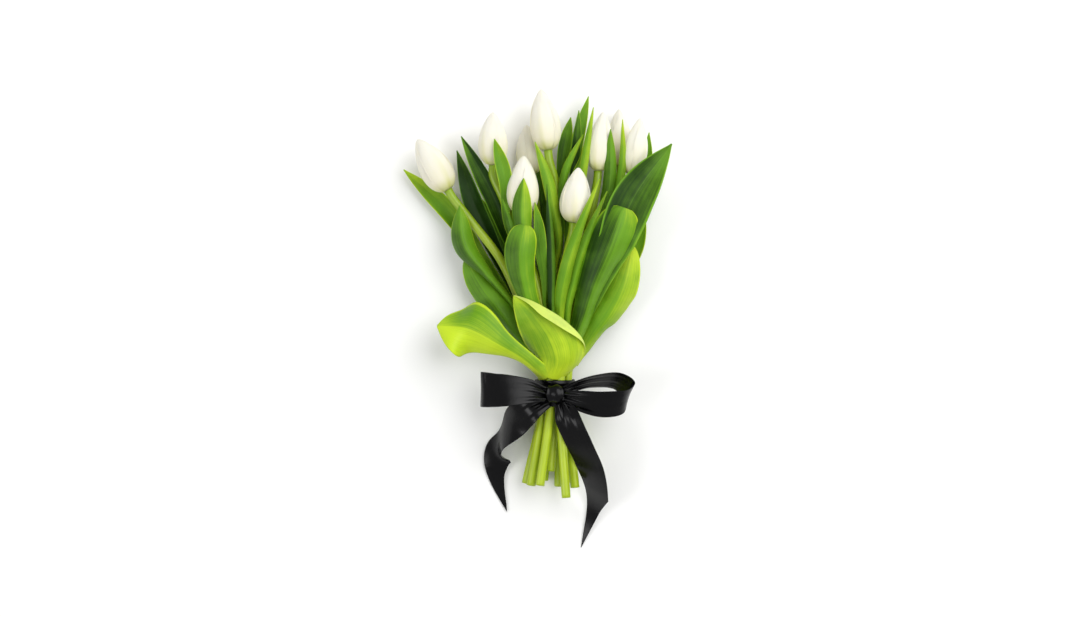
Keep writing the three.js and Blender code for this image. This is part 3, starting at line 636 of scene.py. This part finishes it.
def makeLeaf(order, leaf):
    # the half width at t is h(t) = width / 2 (swell + base (1 - t)^2 (1 - swell)), with
    # swell = sin(pi t^power)^blunt. The section there is a curve whose slope turns by
    # cup(t) u, plus a crease at the rib and a roll-back of one margin, summed up across from
    # the middle, and the margins ripple by a sine that grows towards them
    luck = np.random.default_rng(700 + order)
    rows, cols = leafSizes["rows"], leaf.get("cols", leafSizes["cols"])
    t = np.linspace(0, 1, rows)
    u = np.linspace(-1, 1, cols)
    path = [leafFoot(leaf), *leaf["to"]]
    spine, along, across, facing = framesOn(path, t, np.array([1.0, 0, 0]))
    across, facing = rolled(across, facing, readAlong(leaf["roll"], t))
    power = math.log(0.5) / math.log(leaf["widest"])
    swell = np.sin(math.pi * np.minimum(t, 0.997) ** power) ** leaf.get("blunt", 1)
    base = leaf.get("foot", leafSizes["baseShare"])
    half = leaf["width"] / 2 * (swell + base * (1 - t) ** 2 * (1 - swell)) + leafSizes["tip"]
    slope = np.radians(readAlong(leaf["cup"], t))[:, None] * u
    usual = math.copysign(leafSizes["crease"], leaf["cup"][-1])
    crease = math.radians(leaf.get("crease", usual)) * np.sin(math.pi * t) ** 0.5
    slope = slope + crease[:, None] * np.tanh(u / 0.1)
    turned = 0 * t[:, None] * u
    if "back" in leaf:
        # the margin beyond share of the half width is turned back over the leaf
        share = readAlong(leaf["back"]["share"], t)[:, None]
        turn = np.radians(readAlong(leaf["back"]["turn"], t))
        reach = np.clip((u * leaf["back"]["margin"] - share) / leaf["back"]["round"], 0, 1)
        slope = slope + leaf["back"]["margin"] * turn[:, None] * reach * reach * (3 - 2 * reach)
        turned = turned + reach
    step = u[1] - u[0]

    def summed(values):
        total = np.cumsum((values[:, 1:] + values[:, :-1]) / 2 * step, axis=1)
        total = np.hstack([np.zeros((rows, 1)), total])
        return (total - total[:, cols // 2:cols // 2 + 1]) * half[:, None]

    sideways, lifted = summed(np.cos(slope)), summed(np.sin(slope))
    phase = luck.uniform(0, 2 * math.pi, 4)
    waves = leafSizes["waves"] * 2 * math.pi * t[:, None]
    ripple = leaf.get("ripple", leafSizes["ripple"]) * min(1, leaf["width"] / leafSizes["broad"])
    wave = np.where(u < 0, np.sin(waves + phase[0]) + 0.4 * np.sin(2.3 * waves + phase[1]),
                    np.sin(waves * 1.1 + phase[2]) + 0.4 * np.sin(2.1 * waves + phase[3]))
    lifted = lifted + ripple * np.abs(u) ** 2.4 * wave * np.sin(math.pi * t[:, None]) ** 0.6
    grid = spine[:, None] + across[:, None] * sideways[..., None] + facing[:, None] * lifted[..., None]
    length = np.linalg.norm(np.diff(spine, axis=0), axis=1).sum() * millimetre
    wide, long = np.broadcast_arrays((u[None, :] + 1) / 2, t[:, None])
    uv = np.stack([wide, long * length], -1)
    # lighter at the foot, and one side of the rib darker than the other: a painted shade for light falling
    # across the fold
    tone = leaf["tone"] + leaf.get("paintedHalfShade", leafSizes["paintedHalfShade"]) * np.tanh(u / 0.12)[None, :]
    tone = tone + 0.35 * np.exp(-long / 0.12) + 0.06 * np.sin(3 * long + phase[0])
    name = "leaf_" + leaf["name"]
    piece = sheetPiece(name + "_blade", place(grid), leafSizes["thickness"] * millimetre, uv,
                       {"tone": tone, "rise": long, "turned": turned}, leafMaterial)
    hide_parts(name)


for order, leaf in enumerate(leaves):
    makeLeaf(order, leaf)
print("leaves made")


ribbonSizes = {"width": 36.0, "thickness": 0.5, "rows": 150, "cols": 41, "pleat": 2.2, "fade": 0.16}
knotSizes = {"wide": 17.0, "tall": 17.0, "deep": 12.0, "narrow": 0.22, "tuck": 170, "fold": 1.3,
             "pleats": 3.4, "pleat": 0.7, "rows": 96, "cols": 49}
bandSizes = {"wide": 26.0, "pleats": 3, "pleat": 0.45, "inset": 0.5, "girth": 20,
             "rows": 144, "cols": 33}
knotLow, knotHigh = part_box("ribbon_knot")
knotMiddle = (np.array((knotLow + knotHigh) / 2) - tie) / millimetre

# path is the middle of the strip and across the way across it, from the knot outwards; share
# is its gathered width there; cut is how far the end slopes
ribbons = [
    {"name": "loop_left", "held": "folded", "cut": 0,
     "path": [[-9, -1, 2], [-24, 3, 9], [-48, 4, 12], [-70, 4, 6], [-73, 5, -3], [-52, 4, -6],
              [-26, 2, -3], [-9, 0, -2]],
     "across": [[0, 1, -0.25], [0, 1, -0.25], [0, 1, 0.1], [0, 1, 0.3]],
     "share": [0.36, 0.67, 0.92, 0.94, 0.94, 0.83, 0.56, 0.33]},
    {"name": "loop_right", "held": "folded", "cut": 0,
     "path": [[9, -3, 2], [26, -7, 8], [48, -10, 10], [68, -7, 7], [74, 2, 0], [62, 12, -5], [38, 12, -5],
              [22, 8, -3], [9, 3, -2]],
     "across": [[0, 1, 0.35], [0, 1, 0.5], [0.35, 1, 0.9], [0, 0.75, 1], [0, 1, 0.6]],
     "share": [0.36, 0.67, 0.83, 0.86, 0.86, 0.78, 0.61, 0.44, 0.33]},
    {"name": "tail_left", "held": "hung", "cut": 0.27,
     "path": [[-8, -6, -1], [-26, -15, 1], [-42, -31, -14], [-56, -51, -30], [-59, -66, -41],
              [-54, -86, -47], [-37, -117, -48]],
     "across": [[0.5, -0.8, 0], [0.62, -0.7, 0.2], [0.3, -0.1, 0.95], [0.95, 0.1, 0.2],
                [0.93, 0.3, 0.05]],
     "share": [0.4, 0.8, 0.9, 0.88, 0.8, 0.75, 0.72]},
    {"name": "tail_right", "held": "hung", "cut": 0.28,
     "path": [[7, -9, -2], [13, -26, 4], [23, -48, 3], [34, -72, -6], [41, -96, -20], [43, -122, -38],
              [38, -162, -47.3]],
     "across": [[0.8, -0.3, 0.3], [0.85, -0.35, 0.4], [0.85, -0.35, 0.3], [0.8, -0.3, 0.6],
                [0.85, -0.3, 0.2]],
     "share": [0.45, 0.8, 0.9, 0.88, 0.82, 0.72, 0.65]},
]


def makeRibbon(order, ribbon):
    # a strip of half width w(t) across its path, pleated by a sine that fades away from the
    # knot; the far end of a tail stops earlier along one edge, by cut (1 + u) / 2 at the end
    # and less and less above it, which cuts it at a slant
    t = np.linspace(0, 1, ribbonSizes["rows"])[:, None]
    u = np.linspace(-1, 1, ribbonSizes["cols"])[None, :]
    t = t - ribbon["cut"] * (1 + u) / 2 * t**4
    path = np.array(ribbon["path"], float) + knotMiddle
    spine, along, across, facing = framesOn(path, t, unit(followPoints(ribbon["across"], t)))
    share = readAlong(ribbon["share"], t)
    half = share * ribbonSizes["width"] / 2
    near = t if ribbon["cut"] else np.minimum(t, 1 - t)
    fade = np.exp(-near / ribbonSizes["fade"])
    pleats = ribbonSizes["pleat"] * np.clip(1 - share / 0.9, 0, 1) ** 0.6 * fade
    wave = np.sin(2.5 * math.pi * u + order) + 0.35 * np.sin(5.5 * math.pi * u + 2 * order)
    grid = spine + across * (half * u)[..., None] + facing * (pleats * wave)[..., None]
    length = np.linalg.norm(np.diff(path, axis=0), axis=1).sum() * millimetre
    uv = np.stack(np.broadcast_arrays((u + 1) / 2, t * length), -1)
    thickness = ribbonSizes["thickness"] * millimetre
    piece = sheetPiece("satin_" + ribbon["name"], place(grid), thickness, uv, {}, ribbonMaterial)
    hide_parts("ribbon_" + ribbon["name"])


def makeKnot():
    # a soft sleeve of ribbon wrapped round the crossing: an oval ring in the plane of y and z,
    # narrower at its top and bottom. Across it the strip goes sideways by sin(tuck u) and
    # inwards by 1 - cos(tuck u), so both its edges are tucked under
    turn = np.linspace(0, 2 * math.pi, knotSizes["rows"], endpoint=False)[:, None]
    u = np.linspace(-1, 1, knotSizes["cols"])[None, :]
    tuck = np.radians(knotSizes["tuck"]) * u
    inward = knotSizes["fold"] * (1 - np.cos(tuck))
    pleats = knotSizes["pleat"] * np.sin(knotSizes["pleats"] * math.pi * u + 0.8 * np.sin(turn + 0.6))
    pleats = pleats * np.cos(tuck / 2) ** 2
    y = (knotSizes["tall"] / 2 - inward + pleats) * np.cos(turn)
    z = (knotSizes["deep"] / 2 - inward + pleats) * np.sin(turn)
    x = np.sin(tuck) * knotSizes["wide"] / 2 * (1 - knotSizes["narrow"] * np.cos(turn) ** 2)
    grid = knotMiddle + np.stack(np.broadcast_arrays(x, y, z), -1)
    length = math.pi * (knotSizes["tall"] + knotSizes["deep"]) / 2 * millimetre
    uv = np.stack(np.broadcast_arrays((u + 1) / 2, turn / (2 * math.pi) * length), -1)
    thickness = ribbonSizes["thickness"] * millimetre
    piece = sheetPiece("satin_knot", place(grid)[::-1], thickness, uv[::-1], {}, ribbonMaterial, wrap=True)
    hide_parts("ribbon_knot")


def makeBand():
    # the ribbon round the stems: a ring of the band's radius, gathered into soft pleats
    turn = np.linspace(0, 2 * math.pi, bandSizes["rows"], endpoint=False)[:, None]
    u = np.linspace(-1, 1, bandSizes["cols"])[None, :]
    outside = (bandHigh.x - bandLow.x) / 2 / millimetre
    pleats = bandSizes["pleat"] * np.sin(bandSizes["pleats"] * math.pi * u + 1.2 * np.sin(2 * turn))
    radius = outside - bandSizes["inset"] + pleats
    y = u * bandSizes["wide"] / 2 + 0 * turn
    grid = np.stack([radius * np.cos(turn), y, radius * np.sin(turn)], -1)
    length = 2 * math.pi * bandSizes["girth"] * millimetre
    uv = np.stack(np.broadcast_arrays((u + 1) / 2, turn / (2 * math.pi) * length), -1)
    thickness = ribbonSizes["thickness"] * millimetre
    piece = sheetPiece("satin_band", place(grid), thickness, uv, {}, ribbonMaterial, wrap=True)
    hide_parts("ribbon_band")


for order, ribbon in enumerate(ribbons):
    makeRibbon(order, ribbon)
makeKnot()
makeBand()
print("ribbon made")


studio = {"floor": colour(246, 246, 245), "reach": 4, "drop": 0.0002, "aim": (0, 0, 0.03),
          "world": 0.53, "key": 31.0, "keySpot": (0.95, 0.65, 1.5), "keySize": 1.9, "fill": 8.0,
          "fillSpot": (-1.2, -0.3, 1.3), "fillSize": 0.8, "distance": 1.7, "across": 1.08,
          "middle": [-15, 84.5, 10]}


def makeFloor():
    # a square just under the bunch
    shop = Shop("pale floor")
    material = shop.finish(**{"Base Color": studio["floor"], "Roughness": 0.8, "Specular IOR Level": 0.2})
    mesh = bpy.data.meshes.new("floor")
    reach, drop = studio["reach"], studio["drop"]
    corners = [(-reach, -reach, -drop), (reach, -reach, -drop), (reach, reach, -drop), (-reach, reach, -drop)]
    mesh.from_pydata(corners, [], [(0, 1, 2, 3)])
    mesh.materials.append(material)
    floor = bpy.data.objects.new("floor", mesh)
    bpy.context.scene.collection.objects.link(floor)


def makeLight(name, spot, power, size):
    # a round lamp turned towards the bunch
    lamp = bpy.data.lights.new(name, "AREA")
    lamp.shape, lamp.size, lamp.energy = "DISK", size, power
    light = bpy.data.objects.new(name, lamp)
    light.location = spot
    aim = Vector(studio["aim"]) - Vector(spot)
    light.rotation_euler = aim.to_track_quat("-Z", "Y").to_euler()
    bpy.context.scene.collection.objects.link(light)


def makeStudio():
    world = bpy.data.worlds.new("soft studio")
    world.use_nodes = True
    world.node_tree.nodes["Background"].inputs["Color"].default_value = (1, 1, 1, 1)
    world.node_tree.nodes["Background"].inputs["Strength"].default_value = studio["world"]
    bpy.context.scene.world = world
    makeLight("key", studio["keySpot"], studio["key"], studio["keySize"])
    makeLight("fill", studio["fillSpot"], studio["fill"], studio["fillSize"])
    bpy.context.scene.view_settings.view_transform = "Standard"


def makeCamera():
    # straight above, with +Y up the picture
    data = bpy.data.cameras.new("camera")
    data.lens = data.sensor_width * studio["distance"] / studio["across"]
    camera = bpy.data.objects.new("camera", data)
    camera.location = place(studio["middle"]) + np.array([0, 0, studio["distance"]])
    bpy.context.scene.collection.objects.link(camera)
    bpy.context.scene.camera = camera


makeFloor()
makeStudio()
makeCamera()
print("studio made")
